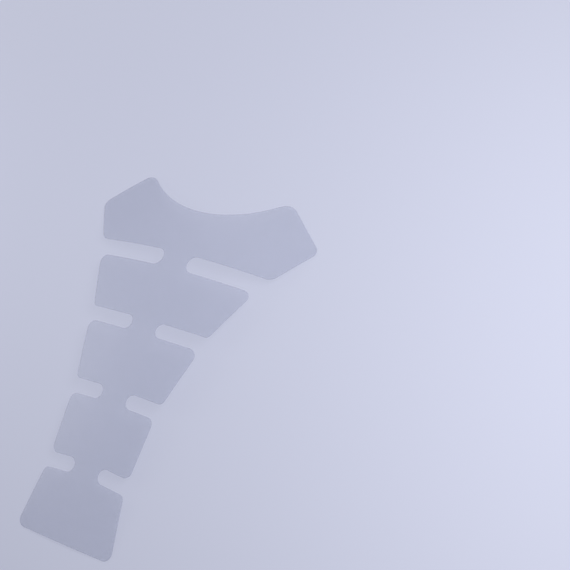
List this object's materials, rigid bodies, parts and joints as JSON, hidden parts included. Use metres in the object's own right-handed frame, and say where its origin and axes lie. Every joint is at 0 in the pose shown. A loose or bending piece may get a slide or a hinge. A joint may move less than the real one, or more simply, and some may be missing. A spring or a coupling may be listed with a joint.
{
  "type": "motorcycle tank pad",
  "caption": "Thin clear stick-on tank pad, a spine with tapering bands parted by round-ended slots and a pair of wings round a curved bay, bent to fit a domed skin.",
  "frame": {"origin": "centre of the bounding box at its base, on the surface that the pad's rim rests on", "axes": "+X across the pad to its right seen from the foot, +Y along the centre line from the foot to the wings, +Z out of the face, away from the adhesive back"},
  "size_m": [0.1664, 0.2352, 0.0158],
  "materials": {
    "clear_film": "satin"
  },
  "bodies": {
    "root": {"tank_pad": "clear_film"}
  },
  "joints": []
}
